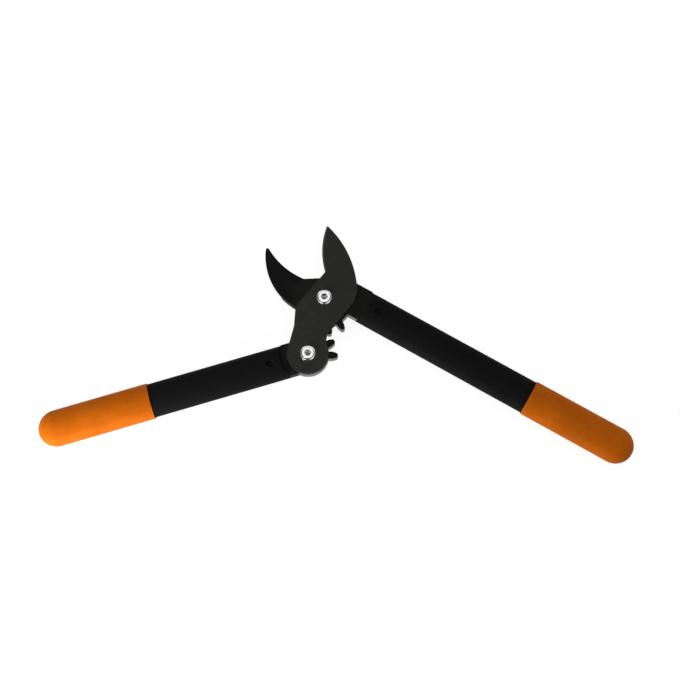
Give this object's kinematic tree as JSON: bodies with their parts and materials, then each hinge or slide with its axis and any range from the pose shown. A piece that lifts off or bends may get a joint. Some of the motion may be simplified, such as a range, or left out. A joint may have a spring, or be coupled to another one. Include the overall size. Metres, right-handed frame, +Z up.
{
  "type": "geared bypass lopper",
  "caption": "Short geared lopper: a curved blade passes a pointed hook as meshed gear sectors, one on each handle's arm, draw the two orange-gripped handles together.",
  "frame": {"origin": "on the blade pivot's axis, on the plane that the tool lies on", "axes": "+X to the right, +Y towards the jaws, +Z up from the surface, along both pivots"},
  "size_m": [0.5406, 0.2265, 0.024],
  "materials": {
    "blade_coat": "dark non-stick coating, satin",
    "forged_steel": "black oxide, satin",
    "zinc": "bright zinc plate",
    "bush_steel": "turned, oiled",
    "pin_steel": "black oxide",
    "nylon": "natural nylon",
    "handle_plastic": "fine grained black plastic",
    "grip_rubber": "soft orange rubber, satin"
  },
  "bodies": {
    "blade": {"cutting_blade": "blade_coat", "blade_pivot_bolt": "zinc", "gear_pivot_bolt": "zinc", "blade_pivot_bush": "bush_steel", "gear_pivot_bush": "bush_steel", "blade_pivot_washer": "zinc", "gear_pivot_washer": "zinc", "blade_pivot_nut": "zinc", "gear_pivot_nut": "zinc", "blade_nut_ring": "nylon", "gear_nut_ring": "nylon"},
    "hook_arm": {"hook_jaw": "forged_steel", "hook_friction_washer": "nylon", "right_handle": "handle_plastic", "right_tang_pin": "pin_steel", "right_grip": "grip_rubber"},
    "gear_arm": {"drive_gear": "forged_steel", "gear_friction_washer": "nylon", "left_handle": "handle_plastic", "left_tang_pin": "pin_steel", "left_grip": "grip_rubber"}
  },
  "joints": [
    {"name": "blade_pivot", "type": "hinge", "parent": "blade", "child": "hook_arm", "pos_m": [0, 0, 0.01335], "axis": [0, 0, 1], "range_deg": [-50.5, 0]},
    {"name": "gear_pivot", "type": "hinge", "parent": "blade", "child": "gear_arm", "pos_m": [-0.01497, -0.05396, 0.01335], "axis": [0, 0, 1], "range_deg": [0, 67.34]}
  ],
  "couplings": [
    {"joint": "gear_pivot", "follows": "blade_pivot", "ratio": -1.3333}
  ]
}
